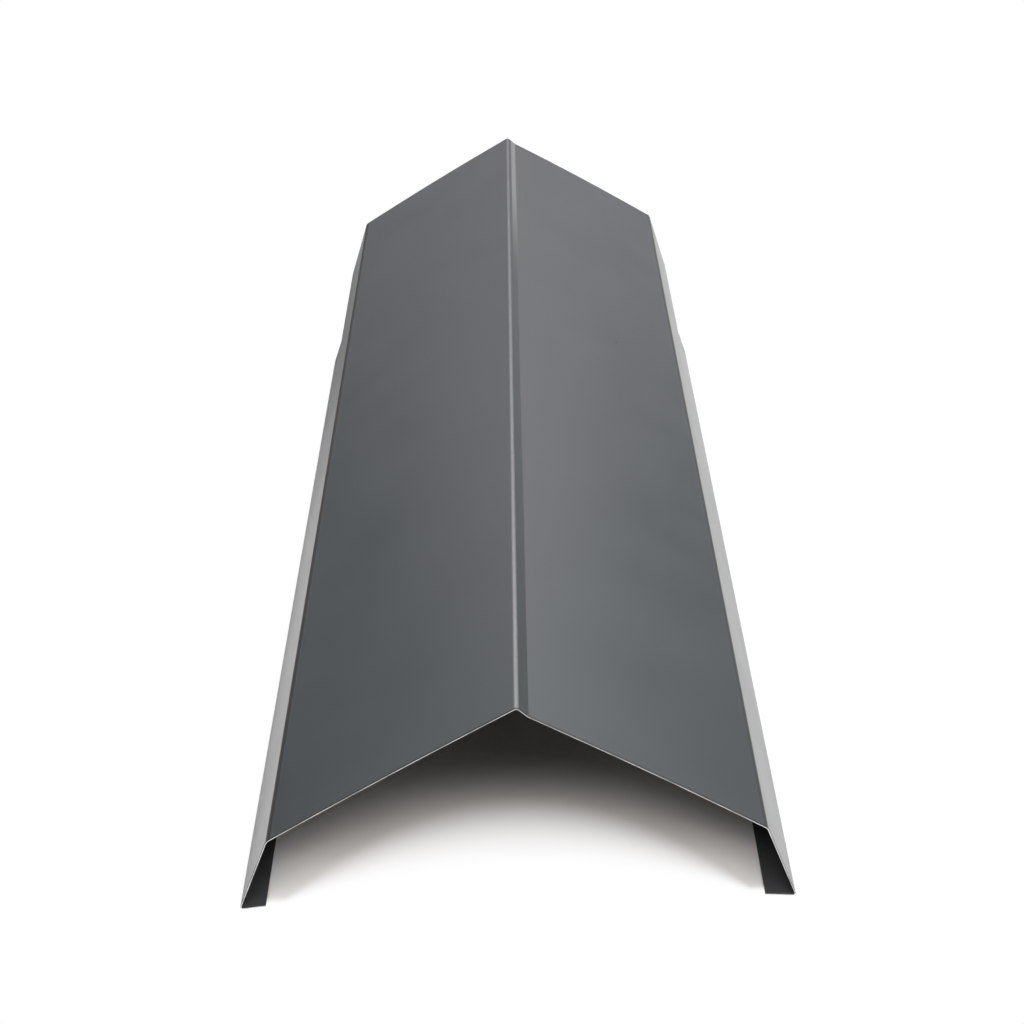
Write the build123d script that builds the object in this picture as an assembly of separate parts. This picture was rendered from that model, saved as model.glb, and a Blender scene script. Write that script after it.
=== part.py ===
from build123d import *
import math
import os

# Folded sheet-metal capping for a roof hip. One length of coated sheet has a wing down each
# side of the ridge, a leg folded down from each wing and a narrow return folded in under each
# leg. The square end shows the whole section. At the other end, the lap end, the returns are
# cut away and the legs are trimmed, so that the next length fits over it.
#
# Millimetres and degrees. +Z is up, +Y runs along the ridge towards the lap end, and the
# origin is on the floor under the middle of the capping, which rests on its two heel folds.

length = 1000.0
sheet_thickness = 0.7

# Section, along the middle of the sheet from one fold corner to the next
wing_width = 160.0
wing_slope = 30.5
ridge_strip_width = 8.0
ridge_strip_slope = 43.0
leg_depth = 48.0
left_leg_slope = 68.0
right_leg_slope = 69.5
left_return_width = 14.5
right_return_width = 17.0
left_return_rise = 7.0
right_return_rise = 4.0

# Inside radius of each kind of fold
ridge_fold_radius = 2.0
left_side_fold_radius = 4.5
right_side_fold_radius = 3.0
heel_fold_radius = 0.8

# Lap end, along the length except for the trimmed leg, which is measured down its slope
lap_length = 235.0
lap_step_length = 12.0
lap_leg_depth = 32.0
lap_mitre_length = 55.0

# How far a cutting block runs past the sheet that it trims
cutter_overrun = 10.0


def along(start, distance, angle):
    """The point of the section at a distance from start, at an angle above +X."""
    turn = math.radians(angle)
    return start + Vector(distance * math.cos(turn), distance * math.sin(turn))


def section_corners():
    """Fold corners and return tips from left to right, centred, with the heels at height 0."""
    crest = Vector(0, 0)
    left_fold = along(crest, wing_width, 180 + wing_slope)
    left_heel = along(left_fold, leg_depth, 180 + left_leg_slope)
    left_tip = along(left_heel, left_return_width, left_return_rise)

    # The narrow strip beside the crest is steeper than the right wing below it, and that wing
    # is as much shorter as brings both heels to one height
    strip_foot = along(crest, ridge_strip_width, -ridge_strip_slope)
    right_leg_height = leg_depth * math.sin(math.radians(right_leg_slope))
    right_wing_drop = strip_foot.Y - left_heel.Y - right_leg_height
    right_wing_width = right_wing_drop / math.sin(math.radians(wing_slope))
    right_fold = along(strip_foot, right_wing_width, -wing_slope)
    right_heel = along(right_fold, leg_depth, -right_leg_slope)
    right_tip = along(right_heel, right_return_width, 180 - right_return_rise)

    middle = Vector((left_heel.X + right_heel.X) / 2, left_heel.Y)
    corners = [left_tip, left_heel, left_fold, crest, strip_foot, right_fold, right_heel, right_tip]
    return [corner - middle for corner in corners]


def middle_radius(inside_radius):
    """Radius of a fold along the middle of the sheet."""
    return inside_radius + sheet_thickness / 2


def folded_sheet():
    """The whole section, extruded over the full length."""
    left_side_fold = middle_radius(left_side_fold_radius)
    right_side_fold = middle_radius(right_side_fold_radius)
    ridge_fold = middle_radius(ridge_fold_radius)
    heel_fold = middle_radius(heel_fold_radius)
    radii = [heel_fold, left_side_fold, ridge_fold, ridge_fold, right_side_fold, heel_fold]
    with BuildPart() as sheet:
        with BuildSketch(Plane.XZ):
            with BuildLine():
                FilletPolyline(*section_corners(), radius=radii)
            trace(line_width=sheet_thickness)
        extrude(amount=length / 2, both=True)
    return sheet.part


def lap_cutter():
    """Block that trims the lap end, drawn from the side and wide enough for both legs."""
    corners = section_corners()
    half_width = max(abs(corner.X) for corner in corners) + cutter_overrun
    # The left leg leans out further, so its side fold is the lower one
    leg_rise = math.sin(math.radians(left_leg_slope))
    side_fold_height = leg_depth * leg_rise
    lap_edge_height = (leg_depth - lap_leg_depth) * leg_rise
    lap_start = length / 2 - lap_length
    mitre_start = length / 2 - lap_mitre_length
    end = length / 2
    # The lowest point of the heel folds is less than one thickness below their corners
    below_heels = -sheet_thickness
    with BuildPart() as cutter:
        with BuildSketch(Plane.YZ):
            with BuildLine():
                Polyline(
                    (lap_start, -cutter_overrun),
                    (lap_start, below_heels),
                    (lap_start + lap_step_length, lap_edge_height),
                    (mitre_start, lap_edge_height),
                    (end, side_fold_height),
                    (end + cutter_overrun, side_fold_height),
                    (end + cutter_overrun, -cutter_overrun),
                    close=True,
                )
            make_face()
        extrude(amount=half_width, both=True)
    return cutter.part


def hip_capping():
    """The folded sheet with its lap end trimmed, set down on the floor."""
    capping = folded_sheet() - lap_cutter()
    floor_gap = capping.bounding_box().min.Z
    return capping.moved(Location((0, 0, -floor_gap)))


os.makedirs("parts", exist_ok=True)
export_step(hip_capping(), "parts/hip_capping.step")
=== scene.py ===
"""Roof hip capping of folded, satin-coated steel sheet, seen along its ridge on a white floor."""

import math

import bmesh
import bpy
from mathutils import Matrix, Vector


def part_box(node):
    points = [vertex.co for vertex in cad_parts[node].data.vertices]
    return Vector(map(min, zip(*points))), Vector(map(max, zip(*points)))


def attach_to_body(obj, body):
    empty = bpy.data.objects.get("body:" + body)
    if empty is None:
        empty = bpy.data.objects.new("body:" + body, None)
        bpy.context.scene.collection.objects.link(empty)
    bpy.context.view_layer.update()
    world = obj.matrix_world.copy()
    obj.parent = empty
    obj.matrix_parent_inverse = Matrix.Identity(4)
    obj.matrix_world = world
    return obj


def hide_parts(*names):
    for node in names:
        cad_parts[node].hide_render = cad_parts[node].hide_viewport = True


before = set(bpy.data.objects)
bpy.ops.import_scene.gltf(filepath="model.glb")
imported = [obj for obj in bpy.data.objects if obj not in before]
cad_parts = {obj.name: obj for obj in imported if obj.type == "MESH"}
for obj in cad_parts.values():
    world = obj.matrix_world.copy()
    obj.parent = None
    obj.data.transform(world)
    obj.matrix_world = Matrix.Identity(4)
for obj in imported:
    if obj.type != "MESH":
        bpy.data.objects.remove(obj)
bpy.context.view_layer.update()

# Metres throughout. The section is the folded sheet's own, measured along the middle of the sheet.
MM = 0.001
SHEET_THICKNESS = 0.7 * MM
WING_WIDTH = 160 * MM
WING_SLOPE = 30.5
RIDGE_STRIP_WIDTH = 8 * MM
RIDGE_STRIP_SLOPE = 43
LEG_DEPTH = 48 * MM
LEFT_LEG_SLOPE = 68
RIGHT_LEG_SLOPE = 69.5
LEFT_RETURN_WIDTH = 14.5 * MM
RIGHT_RETURN_WIDTH = 17 * MM
LEFT_RETURN_RISE = 7
RIGHT_RETURN_RISE = 4
RIDGE_FOLD_RADIUS = 2 * MM
LEFT_SIDE_FOLD_RADIUS = 4.5 * MM
RIGHT_SIDE_FOLD_RADIUS = 3 * MM
HEEL_FOLD_RADIUS = 0.8 * MM
LAP_LENGTH = 235 * MM
LAP_STEP_LENGTH = 12 * MM
LAP_LEG_DEPTH = 32 * MM
LAP_MITRE_LENGTH = 55 * MM

box_low, box_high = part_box("hip_capping")
LENGTH = box_high.y - box_low.y

# How finely the sheet is divided
FOLD_SEGMENTS = 10
LENGTH_STEPS = 40
WING_STEPS = 8
HOLDING_GAP = 1 * MM
TOUCH = 0.01 * MM
DOUBLES = 0.005 * MM

# A rolled and coated sheet is never quite flat: its wings crown between the folds and bow a little
WING_BOW = 0.15 * MM
BOW_GRAIN = 300 * MM
WING_CROWN = 0.9 * MM
WING_FIELD = "wing_field"

# The cut edges are rounded in two steps. Such a rounding turns by 22.5 degrees where it leaves a
# flat side. Shading is smooth only below that, so the rounding doesn't spread its light over the
# wings
ARRIS_ROUND = 0.16 * MM
ARRIS_SEGMENTS = 2
ARRIS_ANGLE = 60
SMOOTH_ANGLE = 20

# How far the piece stays inside the frame's ends and top
BOX_MARGIN = 0.002 * MM


def along(start, distance, angle):
    """The section point at a distance from start, at an angle above +X; Z is the height."""
    turn = math.radians(angle)
    return start + distance * Vector((math.cos(turn), 0, math.sin(turn)))


def section_corners():
    """Fold corners and return tips, left to right, centred, with the heel corners at height 0."""
    crest = Vector((0, 0, 0))
    left_fold = along(crest, WING_WIDTH, 180 + WING_SLOPE)
    left_heel = along(left_fold, LEG_DEPTH, 180 + LEFT_LEG_SLOPE)
    left_tip = along(left_heel, LEFT_RETURN_WIDTH, LEFT_RETURN_RISE)
    strip_foot = along(crest, RIDGE_STRIP_WIDTH, -RIDGE_STRIP_SLOPE)
    right_leg_height = LEG_DEPTH * math.sin(math.radians(RIGHT_LEG_SLOPE))
    right_wing_drop = strip_foot.z - left_heel.z - right_leg_height
    right_wing = right_wing_drop / math.sin(math.radians(WING_SLOPE))
    right_fold = along(strip_foot, right_wing, -WING_SLOPE)
    right_heel = along(right_fold, LEG_DEPTH, -RIGHT_LEG_SLOPE)
    right_tip = along(right_heel, RIGHT_RETURN_WIDTH, 180 - RIGHT_RETURN_RISE)
    middle = Vector(((left_heel.x + right_heel.x) / 2, 0, left_heel.z))
    corners = [left_tip, left_heel, left_fold, crest, strip_foot, right_fold, right_heel, right_tip]
    return [corner - middle for corner in corners]


CORNERS = section_corners()
FOLD_RADII = [
    HEEL_FOLD_RADIUS,
    LEFT_SIDE_FOLD_RADIUS,
    RIDGE_FOLD_RADIUS,
    RIDGE_FOLD_RADIUS,
    RIGHT_SIDE_FOLD_RADIUS,
    HEEL_FOLD_RADIUS,
]


def fold_lines():
    """Each fold's corner, the setback at which its arc leaves the flats, and its bevel profile."""
    folds = []
    for index, inside_radius in enumerate(FOLD_RADII, start=1):
        before = (CORNERS[index] - CORNERS[index - 1]).normalized()
        after = (CORNERS[index + 1] - CORNERS[index]).normalized()
        half_turn = before.angle(after) / 2
        radius = inside_radius + SHEET_THICKNESS / 2
        # The profile with which the middle of the bevel lies on the arc, whatever the turn
        profile = (1 - 1 / (2 * (1 + math.cos(half_turn)))) ** 2
        folds.append((CORNERS[index], radius * math.tan(half_turn), profile))
    return folds


def heel_drop():
    """How far below its corner's height the lowest point of the heel folds lies."""
    half_turn = (CORNERS[1] - CORNERS[0]).angle(CORNERS[2] - CORNERS[1]) / 2
    radius = HEEL_FOLD_RADIUS + SHEET_THICKNESS / 2
    to_tip = (CORNERS[0] - CORNERS[1]).normalized()
    to_side_fold = (CORNERS[2] - CORNERS[1]).normalized()
    bisector = (to_tip + to_side_fold).normalized()
    centre = CORNERS[1] + bisector * radius / math.cos(half_turn)
    return centre.z - radius - SHEET_THICKNESS / 2


HEEL_DROP = heel_drop()

# Selecting and shaping in edit mode


def deselect_all():
    for thing in bpy.context.selected_objects:
        thing.select_set(False)
    bpy.context.view_layer.objects.active = None


def select_in_edit(piece, kind, test):
    """Select just the edges or faces of the piece, in edit mode, whose centre passes the test."""
    bpy.ops.mesh.select_mode(type=kind)
    bpy.ops.mesh.select_all(action="DESELECT")
    shape = bmesh.from_edit_mesh(piece.data)
    if kind == "EDGE":
        for edge in shape.edges:
            edge.select_set(test(edge.verts[0].co, edge.verts[1].co))
    else:
        for face in shape.faces:
            face.select_set(test(face.calc_center_median()))
    shape.select_flush_mode()
    bmesh.update_edit_mesh(piece.data)


def cut_selected(point, normal):
    bpy.ops.mesh.bisect(plane_co=point, plane_no=normal, use_fill=False)


def on_line(point, corner):
    return math.hypot(point.x - corner.x, point.z - corner.z) < TOUCH


def select_line(piece, corner):
    """Select the edges that run along the sheet through a corner of the section."""
    select_in_edit(piece, "EDGE", lambda a, b: on_line(a, corner) and on_line(b, corner))


def folded_strip():
    """A strip the full length of the capping, bent sharply at each corner of the section."""
    bpy.ops.mesh.primitive_plane_add(size=LENGTH, location=(0, 0, 0))
    sheet = bpy.context.object
    sheet.name = "folded_capping"
    half = LENGTH / 2
    bpy.ops.object.mode_set(mode="EDIT")
    for start_x, corner in ((half, CORNERS[0]), (-half, CORNERS[1])):
        start = Vector((start_x, 0, 0))
        select_line(sheet, start)
        bpy.ops.transform.translate(value=corner - start)
    for here, there in zip(CORNERS[1:-1], CORNERS[2:]):
        select_line(sheet, here)
        bpy.ops.mesh.extrude_region_move(TRANSFORM_OT_translate={"value": there - here})
    for corner, setback, profile in fold_lines():
        select_line(sheet, corner)
        bpy.ops.mesh.bevel(
            offset=setback,
            offset_type="OFFSET",
            segments=FOLD_SEGMENTS,
            profile=profile,
            affect="EDGES",
            clamp_overlap=False,
        )
    return sheet


def divide_sheet(sheet):
    """Cut the strip across its length, beside each fold, and along each wing, so that it can bow."""
    for step in range(1, LENGTH_STEPS):
        bpy.ops.mesh.select_all(action="SELECT")
        cut_selected((0, LENGTH * (step / LENGTH_STEPS - 0.5), 0), (0, 1, 0))
    for top, foot in ((CORNERS[3], CORNERS[2]), (CORNERS[4], CORNERS[5])):
        run = foot - top
        low, high = sorted((top.x, foot.x))
        for step in range(1, WING_STEPS):
            select_in_edit(sheet, "FACE", lambda c: low < c.x < high)
            cut_selected(top + run * (step / WING_STEPS), run)
    # A cut close to each side of a fold keeps the flats between the folds flat in their shading
    folds = fold_lines()
    for index, (corner, setback, profile) in enumerate(folds, start=1):
        for neighbour in (CORNERS[index - 1], CORNERS[index + 1]):
            run = neighbour - corner
            near = corner + run.normalized() * (setback + HOLDING_GAP)
            low, high = sorted((corner.x, neighbour.x))
            base, top = sorted((corner.z, neighbour.z))
            select_in_edit(sheet, "FACE", lambda c: low < c.x < high and base < c.z < top)
            cut_selected(near, run)


def trim_lap_end(sheet):
    """Cut away the returns and the lower legs at the lap end, and mitre the legs' ends."""
    leg_rise = math.sin(math.radians(LEFT_LEG_SLOPE))
    fold_height = LEG_DEPTH * leg_rise
    edge_height = (LEG_DEPTH - LAP_LEG_DEPTH) * leg_rise
    end = LENGTH / 2
    lap_start = end - LAP_LENGTH
    step_top = lap_start + LAP_STEP_LENGTH
    mitre_start = end - LAP_MITRE_LENGTH
    below = -SHEET_THICKNESS
    outline = [
        (lap_start, below),
        (step_top, edge_height),
        (mitre_start, edge_height),
        (end, fold_height),
    ]
    outer = min(abs(CORNERS[2].x), abs(CORNERS[5].x)) - 2 * LEFT_SIDE_FOLD_RADIUS
    for (y0, z0), (y1, z1) in zip(outline, outline[1:]):
        select_in_edit(sheet, "FACE", lambda c: abs(c.x) > outer and c.y > lap_start - LAP_STEP_LENGTH)
        cut_selected((0, y0, z0), (0, z0 - z1, y1 - y0))

    def cut_height(y):
        """Height of the trimmed edge at a place along the lap end."""
        for (y0, z0), (y1, z1) in zip(outline, outline[1:]):
            if y0 <= y <= y1:
                return z0 + (z1 - z0) * (y - y0) / (y1 - y0)
        return below

    def cut_away(centre):
        return abs(centre.x) > outer and centre.y > lap_start and centre.z < cut_height(centre.y)

    select_in_edit(sheet, "FACE", cut_away)
    bpy.ops.mesh.delete(type="FACE")


def face_the_coat_outwards(sheet):
    bpy.ops.mesh.select_all(action="SELECT")
    bpy.ops.mesh.remove_doubles(threshold=DOUBLES)
    bpy.ops.mesh.normals_make_consistent(inside=False)
    shape = bmesh.from_edit_mesh(sheet.data)
    wing_middle = CORNERS[3].lerp(CORNERS[2], 0.5)
    wing = min(shape.faces, key=lambda face: (face.calc_center_median() - wing_middle).length)
    if wing.normal.z < 0:
        bpy.ops.mesh.flip_normals()


def bow_wings(sheet):
    """Let the wings crown outwards and bow slightly between the folds, which stay true."""
    group = sheet.vertex_groups.new(name=WING_FIELD)
    for vertex in sheet.data.vertices:
        point = vertex.co
        for top, foot in ((CORNERS[3], CORNERS[2]), (CORNERS[4], CORNERS[5])):
            low, high = sorted((top.x, foot.x))
            if low < point.x < high:
                across = math.sin(math.pi * (point.x - low) / (high - low))
                group.add([vertex.index], across, "REPLACE")
    waves = bpy.data.textures.new("wing_bow", type="CLOUDS")
    waves.noise_scale = BOW_GRAIN
    waves.noise_depth = 0
    bow = sheet.modifiers.new("bow", "DISPLACE")
    bow.texture = waves
    bow.texture_coords = "LOCAL"
    bow.vertex_group = WING_FIELD
    bow.strength = 2 * WING_BOW
    bow.mid_level = 0.5
    bpy.ops.object.modifier_apply(modifier=bow.name)
    crown = sheet.modifiers.new("crown", "DISPLACE")
    crown.vertex_group = WING_FIELD
    crown.strength = WING_CROWN
    crown.mid_level = 0
    bpy.ops.object.modifier_apply(modifier=crown.name)


def thicken(sheet):
    """Give the strip its thickness, with slots for the coat, the reverse and the cut edges."""
    solid = sheet.modifiers.new("thickness", "SOLIDIFY")
    solid.thickness = SHEET_THICKNESS
    solid.offset = 0
    solid.use_even_offset = True
    solid.material_offset = 1
    solid.material_offset_rim = 2
    bpy.ops.object.modifier_apply(modifier=solid.name)
    arris = sheet.modifiers.new("arris", "BEVEL")
    arris.width = ARRIS_ROUND
    arris.segments = ARRIS_SEGMENTS
    arris.limit_method = "ANGLE"
    arris.angle_limit = math.radians(ARRIS_ANGLE)
    arris.use_clamp_overlap = False
    arris.material = 0
    bpy.ops.object.modifier_apply(modifier=arris.name)


def set_down(sheet):
    """Stand the piece on the floor that the frame gives, just inside the frame's ends and top."""
    points = [vertex.co for vertex in sheet.data.vertices]
    lowest = min(point.z for point in points)
    height = max(point.z for point in points) - lowest
    middle = (box_low.y + box_high.y) / 2
    fit_height = (box_high.z - box_low.z - BOX_MARGIN) / height
    fit_length = (LENGTH - BOX_MARGIN) / LENGTH
    sheet.data.transform(Matrix.Translation((0, 0, -lowest)))
    sheet.data.transform(Matrix.Diagonal((1, fit_length, min(1, fit_height), 1)))
    sheet.data.transform(Matrix.Translation((0, middle, box_low.z)))


def build_capping(materials):
    deselect_all()
    sheet = folded_strip()
    divide_sheet(sheet)
    trim_lap_end(sheet)
    face_the_coat_outwards(sheet)
    bpy.ops.object.mode_set(mode="OBJECT")
    for material in materials:
        sheet.data.materials.append(material)
    bow_wings(sheet)
    thicken(sheet)
    set_down(sheet)
    bpy.ops.object.shade_smooth_by_angle(angle=math.radians(SMOOTH_ANGLE))
    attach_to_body(sheet, "root")
    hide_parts("hip_capping")


# Materials. Colours are linear

COAT_COLOR = (0.039, 0.047, 0.0525)
COAT_WORN = (0.11, 0.115, 0.12)
# Colour of a painted highlight in a line along the ridge strip towards the lap end
COAT_PAINTED_HIGHLIGHT = (0.19, 0.19, 0.195)
# Colour of painted shade in dark lines at the side folds and the cut ends
COAT_PAINTED_SHADE = (0.01, 0.01, 0.01)
COAT_ROUGHNESS = 0.3
COAT_IOR = 1.5
REVERSE_COLOR = (0.058, 0.059, 0.061)
REVERSE_WORN = (0.09, 0.09, 0.09)
REVERSE_ROUGHNESS = 0.42
WORN_ROUGHNESS = 0.12
SHADE_LINE_ROUGHNESS = 0.3

# Blotches, streaks and orange peel of the coat. Noise swings by about a quarter, so it is raised
BLOTCH_GRAIN = 60 * MM
BLOTCH_SHARE = 0.65
STREAK_GRAIN = 2.5 * MM
STREAK_STRETCH = 40
STREAK_RELIEF = 0.3
PEEL_GRAIN = 1.3 * MM
NOISE_GAIN = 4.0

# Chipped wear, a painted highlight in a line along the ridge strip, and painted shade in dark, dull
# lines at folds and ends.
# The last two are given by where the line starts to show and where it is full
CHIP_GRAIN = 1.6 * MM
CHIP_STRETCH = 3
CHIP_RANGE = (0.42, 0.62)
STRIP_HIGHLIGHT_PLACE = 0.75
STRIP_HIGHLIGHT_REACH = (3.5 * MM, 1.5 * MM)
STRIP_HIGHLIGHT_START = (0.12, 0.4)
DULL_OFFSET = 0.7
DULL_REACH = (1.6, 0.6)
END_LINE = (1.6 * MM, 0.9 * MM)

# Cut edge
EDGE_DULL = (0.4, 0.4, 0.39)
EDGE_BRIGHT = (0.8, 0.8, 0.79)
EDGE_BRIGHT_RANGE = (0.35, 0.62)
EDGE_ROUGHNESS = (0.38, 0.55)
EDGE_METALLIC = 0.6
EDGE_PATCH_GRAIN = 14 * MM
EDGE_PATCH_SHARE = 0.6
STRIATION_GRAIN = 0.5 * MM
STRIATION_RANGE = (0.3, 0.7)
STRIATION_DEPTH = 0.03 * MM


def new_group(name, inputs, outputs):
    """A shader node group with its input and output nodes; inputs come with their defaults."""
    group = bpy.data.node_groups.new(name, "ShaderNodeTree")
    for label, socket, value in inputs:
        group.interface.new_socket(label, in_out="INPUT", socket_type=socket).default_value = value
    for label, socket in outputs:
        group.interface.new_socket(label, in_out="OUTPUT", socket_type=socket)
    return group, group.nodes.new("NodeGroupInput"), group.nodes.new("NodeGroupOutput")


def attach(links, value, socket):
    """Link an output to the socket, or set the socket to a plain value."""
    if isinstance(value, bpy.types.NodeSocket):
        links.new(value, socket)
    else:
        socket.default_value = value


def calculate(tree, operation, *values, clamp=False):
    node = tree.nodes.new("ShaderNodeMath")
    node.operation = operation
    node.use_clamp = clamp
    for socket, value in zip(node.inputs, values):
        attach(tree.links, value, socket)
    return node.outputs[0]


def ramp(tree, value, low, high, to_low=0.0, to_high=1.0):
    """Smooth step of a value between low and high."""
    node = tree.nodes.new("ShaderNodeMapRange")
    node.interpolation_type = "SMOOTHSTEP"
    parts = {"Value": value, "From Min": low, "From Max": high, "To Min": to_low, "To Max": to_high}
    for label, part in parts.items():
        attach(tree.links, part, node.inputs[label])
    return node.outputs["Result"]


def object_place(tree, stretch=(1, 1, 1)):
    """Object coordinates, divided by a stretch along each axis."""
    place = tree.nodes.new("ShaderNodeTexCoord")
    mapping = tree.nodes.new("ShaderNodeMapping")
    mapping.inputs["Scale"].default_value = [1 / part for part in stretch]
    tree.links.new(place.outputs["Object"], mapping.inputs["Vector"])
    return mapping.outputs["Vector"]


def place_parts(tree, space="Object"):
    """The X, Y and Z of a place, in one of its coordinate spaces."""
    place = tree.nodes.new("ShaderNodeTexCoord")
    parts = tree.nodes.new("ShaderNodeSeparateXYZ")
    tree.links.new(place.outputs[space], parts.inputs[0])
    return parts.outputs


def noise(tree, place, grain, detail=2.0, roughness=0.5):
    """Noise from 0 to 1 whose blotches are about one grain across."""
    node = tree.nodes.new("ShaderNodeTexNoise")
    node.inputs["Scale"].default_value = 1 / grain
    node.inputs["Detail"].default_value = detail
    node.inputs["Roughness"].default_value = roughness
    tree.links.new(place, node.inputs["Vector"])
    return node.outputs["Fac"]


def blend_color(tree, factor, first, second):
    node = tree.nodes.new("ShaderNodeMix")
    node.data_type = "RGBA"
    for label, part in (("Factor_Float", factor), ("A_Color", first), ("B_Color", second)):
        socket = next(item for item in node.inputs if item.identifier == label)
        attach(tree.links, part, socket)
    return next(item for item in node.outputs if item.identifier == "Result_Color")


def place_group(tree, group, **values):
    node = tree.nodes.new("ShaderNodeGroup")
    node.node_tree = group
    for label, value in values.items():
        attach(tree.links, value, node.inputs[label.replace("_", " ")])
    return node


def coat_texture_group():
    """Stoved coat: soft blotches, faint roller streaks along the sheet and fine orange peel."""
    group, given, result = new_group(
        "coat_texture",
        [
            ("Color", "NodeSocketColor", (0.07, 0.07, 0.07, 1)),
            ("Mottle", "NodeSocketFloat", 0.05),
            ("Roughness", "NodeSocketFloat", 0.35),
            ("Spread", "NodeSocketFloat", 0.04),
        ],
        [("Color", "NodeSocketColor"), ("Roughness", "NodeSocketFloat"), ("Height", "NodeSocketFloat")],
    )
    along_sheet = object_place(group, stretch=(1, STREAK_STRETCH, 1))
    blotches = noise(group, object_place(group), BLOTCH_GRAIN, detail=3)
    streaks = noise(group, along_sheet, STREAK_GRAIN, detail=3, roughness=0.6)
    peel = noise(group, object_place(group), PEEL_GRAIN, detail=1)
    blotch_part = calculate(group, "MULTIPLY", blotches, BLOTCH_SHARE)
    streak_part = calculate(group, "MULTIPLY", streaks, 1 - BLOTCH_SHARE)
    swing = calculate(group, "SUBTRACT", calculate(group, "ADD", blotch_part, streak_part), 0.5)
    mottle = calculate(group, "MULTIPLY", swing, given.outputs["Mottle"])
    shade = calculate(group, "MULTIPLY_ADD", mottle, NOISE_GAIN, 1.0)
    scaled = group.nodes.new("ShaderNodeVectorMath")
    scaled.operation = "SCALE"
    group.links.new(given.outputs["Color"], scaled.inputs[0])
    group.links.new(shade, scaled.inputs["Scale"])
    group.links.new(scaled.outputs["Vector"], result.inputs["Color"])
    spread = calculate(group, "MULTIPLY", swing, given.outputs["Spread"])
    spread = calculate(group, "MULTIPLY", spread, NOISE_GAIN)
    roughness = calculate(group, "ADD", spread, given.outputs["Roughness"])
    group.links.new(roughness, result.inputs["Roughness"])
    height = calculate(group, "MULTIPLY_ADD", streaks, STREAK_RELIEF, peel)
    group.links.new(height, result.inputs["Height"])
    return group


def line_distance(tree, parts, corner):
    """Distance from the line along the sheet that runs through a point of the section."""
    across = calculate(tree, "SUBTRACT", parts["X"], corner.x)
    above = calculate(tree, "SUBTRACT", parts["Z"], corner.z - HEEL_DROP)
    square = calculate(tree, "MULTIPLY", across, across)
    return calculate(tree, "SQRT", calculate(tree, "MULTIPLY_ADD", above, above, square))


def end_distance(tree, parts):
    """Distance inwards from the nearer end of the sheet."""
    return calculate(tree, "SUBTRACT", LENGTH / 2, calculate(tree, "ABSOLUTE", parts["Y"]))


def fold_shade_and_dulling_group():
    """Mask of painted shade, coat made dark and also rougher: in a line just above each leg, and along
    the cut ends.
    """
    group, given, result = new_group(
        "fold_painted_shade_and_dulling",
        [
            ("Left Amount", "NodeSocketFloat", 1.0),
            ("Right Amount", "NodeSocketFloat", 0.6),
            ("End Amount", "NodeSocketFloat", 0.9),
        ],
        [("Mask", "NodeSocketFloat")],
    )
    parts = place_parts(group)
    folds = fold_lines()
    side_folds = [(folds[1], CORNERS[3], "Left Amount"), (folds[4], CORNERS[4], "Right Amount")]
    lines = []
    for (corner, setback, profile), wing_top, amount in side_folds:
        middle = corner + (wing_top - corner).normalized() * setback * DULL_OFFSET
        reach = [setback * part for part in DULL_REACH]
        line = ramp(group, line_distance(group, parts, middle), *reach)
        lines.append(calculate(group, "MULTIPLY", line, given.outputs[amount]))
    from_end = end_distance(group, parts)
    at_end = calculate(group, "MULTIPLY", ramp(group, from_end, *END_LINE), given.outputs["End Amount"])
    at_folds = calculate(group, "MAXIMUM", *lines)
    group.links.new(calculate(group, "MAXIMUM", at_folds, at_end, clamp=True), result.inputs["Mask"])
    return group


def wear_and_strip_highlight_group():
    """Masks of coat worn at the crest and the sheet's ends, and of a painted highlight along the ridge
    strip towards the lap end.
    """
    group, given, result = new_group(
        "edge_wear_and_strip_highlight",
        [
            ("Fold Width", "NodeSocketFloat", 2 * MM),
            ("End Width", "NodeSocketFloat", 1.5 * MM),
            ("Amount", "NodeSocketFloat", 1.0),
        ],
        [("Mask", "NodeSocketFloat"), ("Strip Highlight", "NodeSocketFloat")],
    )
    parts = place_parts(group)
    at_fold = ramp(group, line_distance(group, parts, CORNERS[3]), given.outputs["Fold Width"], 0.0)
    from_end = end_distance(group, parts)
    at_end = ramp(group, from_end, given.outputs["End Width"], 0.0)
    along_sheet = object_place(group, stretch=(1, CHIP_STRETCH, 1))
    chips = noise(group, along_sheet, CHIP_GRAIN, detail=4, roughness=0.65)
    worn = calculate(group, "MAXIMUM", at_fold, at_end)
    chipped = calculate(group, "MULTIPLY", worn, ramp(group, chips, *CHIP_RANGE))
    mask = calculate(group, "MULTIPLY", chipped, given.outputs["Amount"], clamp=True)
    group.links.new(mask, result.inputs["Mask"])
    # A painted highlight: the coat of the ridge strip is made lighter in a line towards the lap end,
    # near the strip's lower fold
    strip_middle = CORNERS[3].lerp(CORNERS[4], STRIP_HIGHLIGHT_PLACE)
    along_strip = ramp(group, line_distance(group, parts, strip_middle), *STRIP_HIGHLIGHT_REACH)
    towards_lap = ramp(group, parts["Y"], *STRIP_HIGHLIGHT_START)
    group.links.new(calculate(group, "MULTIPLY", along_strip, towards_lap), result.inputs["Strip Highlight"])
    return group


def new_material(name):
    material = bpy.data.materials.new(name)
    material.use_nodes = True
    material.node_tree.nodes.clear()
    output = material.node_tree.nodes.new("ShaderNodeOutputMaterial")
    shader = material.node_tree.nodes.new("ShaderNodeBsdfPrincipled")
    material.node_tree.links.new(shader.outputs["BSDF"], output.inputs["Surface"])
    return material, shader


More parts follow.
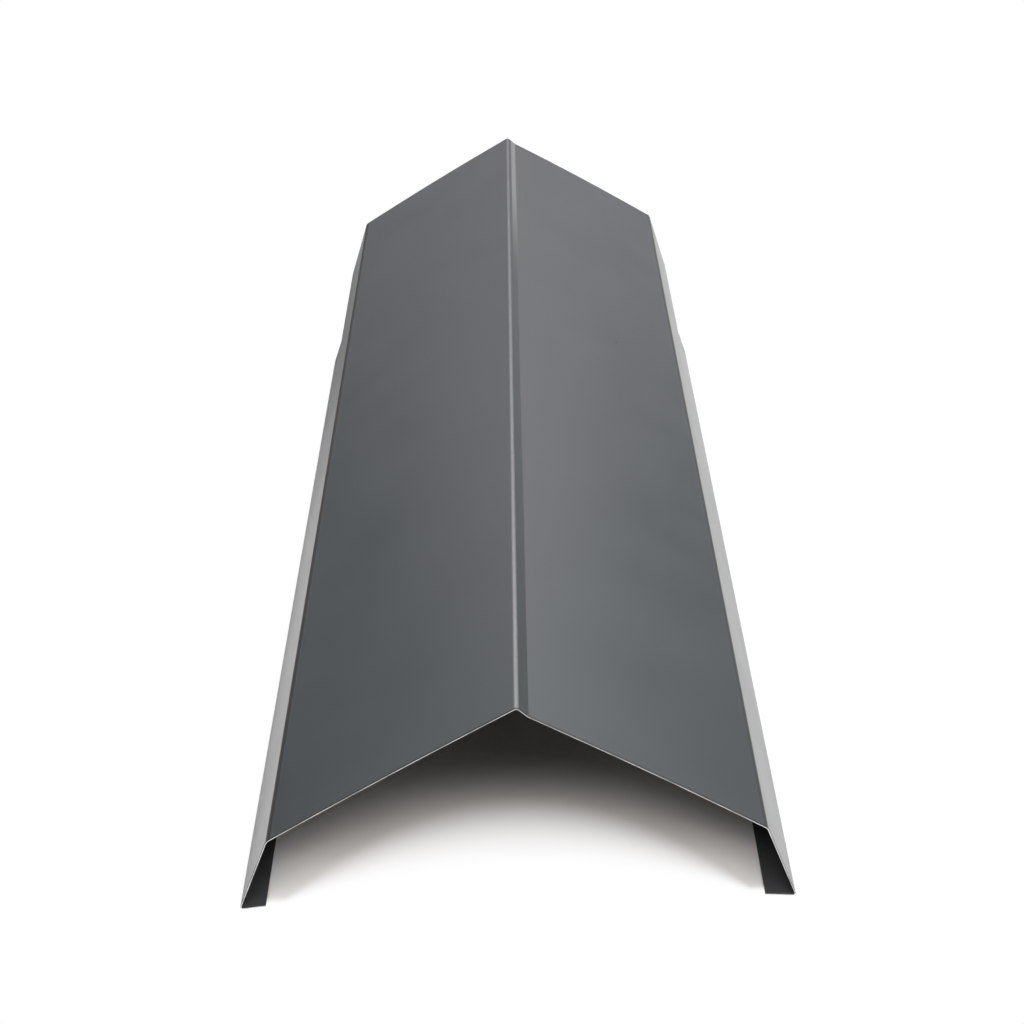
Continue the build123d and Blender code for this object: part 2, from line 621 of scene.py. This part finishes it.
def coat_material(name, groups, color, worn_color, mottle, roughness, spread, peel_height, wear):
    material, shader = new_material(name)
    tree = material.node_tree
    settings = {"Color": (*color, 1), "Mottle": mottle, "Roughness": roughness, "Spread": spread}
    texture = place_group(tree, groups["texture"], **settings)
    edges = place_group(tree, groups["wear"], Amount=wear)
    mask = edges.outputs["Mask"]
    coat = blend_color(tree, mask, texture.outputs["Color"], (*worn_color, 1))
    dulled = calculate(tree, "MULTIPLY_ADD", mask, WORN_ROUGHNESS, texture.outputs["Roughness"])
    if groups.get("shade_and_dulling"):
        # A painted highlight along the ridge strip, then painted shade in dark lines at the side folds
        # and cut ends
        coat = blend_color(tree, edges.outputs["Strip Highlight"], coat, (*COAT_PAINTED_HIGHLIGHT, 1))
        painted_shade = place_group(tree, groups["shade_and_dulling"]).outputs["Mask"]
        coat = blend_color(tree, painted_shade, coat, (*COAT_PAINTED_SHADE, 1))
        dulled = calculate(tree, "MULTIPLY_ADD", painted_shade, SHADE_LINE_ROUGHNESS, dulled)
    tree.links.new(coat, shader.inputs["Base Color"])
    tree.links.new(dulled, shader.inputs["Roughness"])
    shader.inputs["IOR"].default_value = COAT_IOR
    bump = tree.nodes.new("ShaderNodeBump")
    bump.inputs["Distance"].default_value = peel_height
    tree.links.new(texture.outputs["Height"], bump.inputs["Height"])
    tree.links.new(bump.outputs["Normal"], shader.inputs["Normal"])
    return material


def edge_material():
    """Sheared zinc-coated steel: fine striations across the thickness, brighter and duller by turns."""
    material, shader = new_material("cut_edge")
    tree = material.node_tree
    striations = noise(tree, object_place(tree, stretch=(1, 1, 4)), STRIATION_GRAIN, detail=2)
    patches = noise(tree, object_place(tree), EDGE_PATCH_GRAIN, detail=2)
    fine_part = calculate(tree, "MULTIPLY", striations, 1 - EDGE_PATCH_SHARE)
    level = calculate(tree, "MULTIPLY_ADD", patches, EDGE_PATCH_SHARE, fine_part)
    bright = ramp(tree, level, *EDGE_BRIGHT_RANGE)
    metal = blend_color(tree, bright, (*EDGE_DULL, 1), (*EDGE_BRIGHT, 1))
    tree.links.new(metal, shader.inputs["Base Color"])
    roughness = ramp(tree, striations, *STRIATION_RANGE, *EDGE_ROUGHNESS)
    tree.links.new(roughness, shader.inputs["Roughness"])
    shader.inputs["Metallic"].default_value = EDGE_METALLIC
    bump = tree.nodes.new("ShaderNodeBump")
    bump.inputs["Distance"].default_value = STRIATION_DEPTH
    tree.links.new(striations, bump.inputs["Height"])
    tree.links.new(bump.outputs["Normal"], shader.inputs["Normal"])
    return material


def build_materials():
    # The wear group gives the chipped wear mask and the painted highlight along the ridge strip
    groups = {"texture": coat_texture_group(), "wear": wear_and_strip_highlight_group()}
    coat = coat_material(
        "anthracite_coat",
        {**groups, "shade_and_dulling": fold_shade_and_dulling_group()},
        color=COAT_COLOR,
        worn_color=COAT_WORN,
        mottle=0.05,
        roughness=COAT_ROUGHNESS,
        spread=0.03,
        peel_height=0.02 * MM,
        wear=0.35,
    )
    reverse = coat_material(
        "backing_coat",
        groups,
        color=REVERSE_COLOR,
        worn_color=REVERSE_WORN,
        mottle=0.1,
        roughness=REVERSE_ROUGHNESS,
        spread=0.06,
        peel_height=0.03 * MM,
        wear=0.3,
    )
    return [coat, reverse, edge_material()]


build_capping(build_materials())

# Stage. A pair of places says where a change over the floor starts and where it is full

FLOOR_SIZE = 40
FLOOR_COLOR = (0.93, 0.925, 0.915)
# Tint of the floor under the capping: painted warm shade
FLOOR_UNDER_WARM_SHADE = (0.9, 0.855, 0.82)
FLOOR_SHADE = (0.2, 0.2, 0.2)
WHITE_STRENGTH = 1.0
UNDER_FADE = (0.0, -30 * MM)

# White seen by the camera: outside the heels, and as painted light in over the shadow at the open ends
CAMERA_WHITE = (-0.2 * MM, 0.8 * MM)
LAP_INSET = 6 * MM
LAP_INSET_RUN = 30 * MM
MOUTH_REACH = 105 * MM
MOUTH_RIM = 11.5 * MM
LAP_MOUTH_RIM = 90 * MM
RIM_CHANGE = (-0.1, 0.1)
MOUTH_HALF_WIDTH = 128.6 * MM
MOUTH_WHITE = (0.0, 0.7)

# White floor and painted shade on the floor, both seen only in reflections
GLOSSY_WHITE = (0.05, 0.15)
SIDE_SHADE_EDGE = (0.24, 0.32)
SIDE_SHADE_FADE = (0.9, 0.6)
CLOSE_SHADE_EDGE = (-0.15, -0.158)
CLOSE_SHADE_START = (-0.2, 0.38)
CLOSE_SHADE_STRENGTH = 0.76


def build_floor():
    deselect_all()
    bpy.ops.mesh.primitive_plane_add(size=FLOOR_SIZE, location=(0, 0, 0))
    floor = bpy.context.object
    floor.name = "floor"
    material, shader = new_material("floor_white")
    tree = material.node_tree
    shader.inputs["Roughness"].default_value = 1
    shader.inputs["Specular IOR Level"].default_value = 0
    parts = place_parts(tree)
    sideways = calculate(tree, "ABSOLUTE", parts["X"])
    # The trimmed legs of the lap end stand clear of the floor, so the footprint is narrower there
    lap_start = LENGTH / 2 - LAP_LENGTH
    inset = ramp(tree, parts["Y"], lap_start, lap_start + LAP_INSET_RUN, 0.0, LAP_INSET)
    beyond_heels = calculate(tree, "ADD", calculate(tree, "SUBTRACT", sideways, CORNERS[6].x), inset)
    depth = end_distance(tree, parts)
    beyond_side = calculate(tree, "SUBTRACT", sideways, box_high.x)
    beyond_box = calculate(tree, "MAXIMUM", beyond_side, calculate(tree, "MULTIPLY", depth, -1.0))
    # Painted light: the white seen by the camera reaches in over the shadow at the open ends, further
    # in the middle than beside the legs
    aside = calculate(tree, "DIVIDE", sideways, MOUTH_HALF_WIDTH)
    opening = calculate(tree, "SUBTRACT", 1.0, calculate(tree, "MULTIPLY", aside, aside), clamp=True)
    rim = ramp(tree, parts["Y"], *RIM_CHANGE, MOUTH_RIM, LAP_MOUTH_RIM)
    beyond_rim = calculate(tree, "MULTIPLY", opening, calculate(tree, "SUBTRACT", MOUTH_REACH, rim))
    reach = calculate(tree, "ADD", beyond_rim, rim)
    inwards = calculate(tree, "DIVIDE", depth, reach)
    painted_light_at_mouth = ramp(tree, calculate(tree, "SUBTRACT", 1.0, inwards), *MOUTH_WHITE)
    clear = calculate(tree, "MAXIMUM", ramp(tree, beyond_heels, *CAMERA_WHITE), painted_light_at_mouth)
    # Painted shade on the floor to both sides, and closer in at the far left: it is seen only
    # as reflections in the legs and the side folds
    side_shade_end = ramp(tree, parts["Y"], *SIDE_SHADE_FADE)
    side_shade = calculate(tree, "MULTIPLY", ramp(tree, sideways, *SIDE_SHADE_EDGE), side_shade_end)
    along_close_shade = ramp(tree, parts["Y"], *CLOSE_SHADE_START, 0.0, CLOSE_SHADE_STRENGTH)
    close_shade = calculate(tree, "MULTIPLY", ramp(tree, parts["X"], *CLOSE_SHADE_EDGE), along_close_shade)
    shaded = calculate(tree, "MAXIMUM", side_shade, close_shade)
    # Painted warm shade: the floor is tinted warmer under the capping, where its shadow falls
    under = ramp(tree, beyond_box, *UNDER_FADE)
    tone = blend_color(tree, under, (*FLOOR_COLOR, 1), (*FLOOR_UNDER_WARM_SHADE, 1))
    tone = blend_color(tree, shaded, tone, (*FLOOR_SHADE, 1))
    tree.links.new(tone, shader.inputs["Base Color"])
    path = tree.nodes.new("ShaderNodeLightPath")
    seen = calculate(tree, "MULTIPLY", path.outputs["Is Camera Ray"], clear)
    glossy, transmitted = path.outputs["Is Glossy Ray"], path.outputs["Is Transmission Ray"]
    bounced = calculate(tree, "MAXIMUM", glossy, transmitted)
    bounced = calculate(tree, "MULTIPLY", bounced, ramp(tree, beyond_box, *GLOSSY_WHITE))
    bounced = calculate(tree, "MULTIPLY", bounced, calculate(tree, "SUBTRACT", 1.0, shaded))
    white = tree.nodes.new("ShaderNodeEmission")
    white.inputs["Strength"].default_value = WHITE_STRENGTH
    mix = tree.nodes.new("ShaderNodeMixShader")
    tree.links.new(calculate(tree, "ADD", seen, bounced, clamp=True), mix.inputs["Fac"])
    tree.links.new(shader.outputs["BSDF"], mix.inputs[1])
    tree.links.new(white.outputs["Emission"], mix.inputs[2])
    # Seen from below, the floor lets the underside of the capping show
    side = tree.nodes.new("ShaderNodeNewGeometry")
    from_below = calculate(tree, "MULTIPLY", side.outputs["Backfacing"], path.outputs["Is Camera Ray"])
    clear_floor = tree.nodes.new("ShaderNodeBsdfTransparent")
    both_sides = tree.nodes.new("ShaderNodeMixShader")
    tree.links.new(from_below, both_sides.inputs["Fac"])
    tree.links.new(mix.outputs["Shader"], both_sides.inputs[1])
    tree.links.new(clear_floor.outputs["BSDF"], both_sides.inputs[2])
    tree.links.new(both_sides.outputs["Shader"], tree.nodes["Material Output"].inputs["Surface"])
    floor.data.materials.append(material)


build_floor()

# Surroundings

WORLD_BASE = 0.05
PATCH_EDGE = (1.4, 0.6)
BEHIND_TINT = (1.05, 0.975, 1.03)
BEHIND_PLACE = {"Heading": 0, "Elevation": 5, "Half_Width": 24, "Half_Height": 22}

# Soft light patches: heading from the ridge, elevation, half width and half height, all in
# degrees, and strength
WORLD_PATCHES = [
    ("behind_low", 0, 2, 20, 4, 0.13),
    ("behind_low_left", -18, 0.5, 10, 2.5, 0.04),
    ("behind_low_right", 18, 0.5, 10, 2.5, 0.3),
    ("left_mid", -19, 12.5, 6, 3, 0.75),
    ("right_mid", 19, 12.5, 6, 3, 0.9),
    ("behind_20", 0, 20, 22, 4, 0.965),
    ("behind_28", 0, 28, 30, 5, 2.24),
    ("behind_34", 0, 34, 30, 4, 1.2),
    ("behind_high", 0, 38, 34, 6, 7.0),
    ("behind_left", -38, 22, 14, 6, 1.38),
    ("behind_right", 38, 22, 14, 6, 2.32),
    ("right_behind", 45, 38, 20, 9, 0.91),
    ("right_high", 90, 60, 30, 12, 6.6),
    ("right_front", 135, 40, 20, 14, 1.98),
    ("left_front", -135, 40, 20, 14, 0.67),
    ("front_low", 180, 4, 40, 6, 1.07),
    ("front_45", 180, 45, 40, 5, 9.04),
    ("front_50", 180, 50, 20, 5, 1.62),
    ("front_55", 180, 55, 50, 5, 2.55),
]


def patch_group():
    """A soft-edged patch of the surroundings, by its heading and elevation in degrees."""
    labels = ("Heading", "Elevation", "Half Width", "Half Height")
    group, given, result = new_group(
        "soft_patch",
        [(label, "NodeSocketFloat", 10.0) for label in labels],
        [("Value", "NodeSocketFloat")],
    )
    parts = place_parts(group, "Generated")
    direction = calculate(group, "ARCTAN2", parts["X"], parts["Y"])
    heading = calculate(group, "DEGREES", direction)
    turn = calculate(group, "SUBTRACT", heading, given.outputs["Heading"])
    turn = calculate(group, "FLOORED_MODULO", calculate(group, "ADD", turn, 540), 360)
    turn = calculate(group, "ABSOLUTE", calculate(group, "SUBTRACT", turn, 180))
    height = calculate(group, "DEGREES", calculate(group, "ARCSINE", parts["Z"]))
    rise = calculate(group, "SUBTRACT", height, given.outputs["Elevation"])
    rise = calculate(group, "ABSOLUTE", rise)
    sides = [
        ramp(group, calculate(group, "DIVIDE", distance, given.outputs[half]), *PATCH_EDGE)
        for distance, half in ((turn, "Half Width"), (rise, "Half Height"))
    ]
    group.links.new(calculate(group, "MULTIPLY", *sides), result.inputs["Value"])
    return group


def build_world():
    world = bpy.data.worlds.new("studio")
    world.use_nodes = True
    tree = world.node_tree
    background = tree.nodes["Background"]
    group = patch_group()
    total = WORLD_BASE
    for name, heading, elevation, half_width, half_height, strength in WORLD_PATCHES:
        patch = place_group(
            tree,
            group,
            Heading=heading,
            Elevation=elevation,
            Half_Width=half_width,
            Half_Height=half_height,
        )
        patch.label = name
        total = calculate(tree, "MULTIPLY_ADD", patch.outputs["Value"], strength, total)
    # The surroundings straight behind are a little warmer than the rest
    behind = place_group(tree, group, **BEHIND_PLACE)
    path = tree.nodes.new("ShaderNodeLightPath")
    shown = calculate(tree, "SUBTRACT", 1.0, path.outputs["Is Camera Ray"])
    tinted = calculate(tree, "MULTIPLY", behind.outputs["Value"], shown)
    tint = blend_color(tree, tinted, (1, 1, 1, 1), (*BEHIND_TINT, 1))
    tree.links.new(tint, background.inputs["Color"])
    lit = calculate(tree, "MULTIPLY_ADD", total, shown, path.outputs["Is Camera Ray"])
    tree.links.new(lit, background.inputs["Strength"])
    bpy.context.scene.world = world


build_world()

# Camera, solved from the fold corners seen in the photograph

CAMERA_PLACE = Vector((10.26, -1432.69, 720.33)) * MM
CAMERA_PITCH = math.radians(27.168)
CAMERA_YAW = math.radians(-0.425)
CAMERA_ROLL = math.radians(-1.739)
CAMERA_LENS = 73.96
SENSOR_WIDTH = 36


def build_camera():
    data = bpy.data.cameras.new("camera")
    data.sensor_width = SENSOR_WIDTH
    data.lens = CAMERA_LENS
    camera = bpy.data.objects.new("camera", data)
    turn = Matrix.Rotation(-CAMERA_YAW, 4, "Z")
    tilt = Matrix.Rotation(math.pi / 2 - CAMERA_PITCH, 4, "X")
    roll = Matrix.Rotation(CAMERA_ROLL, 4, "Z")
    camera.matrix_world = Matrix.Translation(CAMERA_PLACE) @ turn @ tilt @ roll
    bpy.context.scene.collection.objects.link(camera)
    bpy.context.scene.camera = camera


build_camera()
bpy.context.scene.view_settings.view_transform = "Standard"
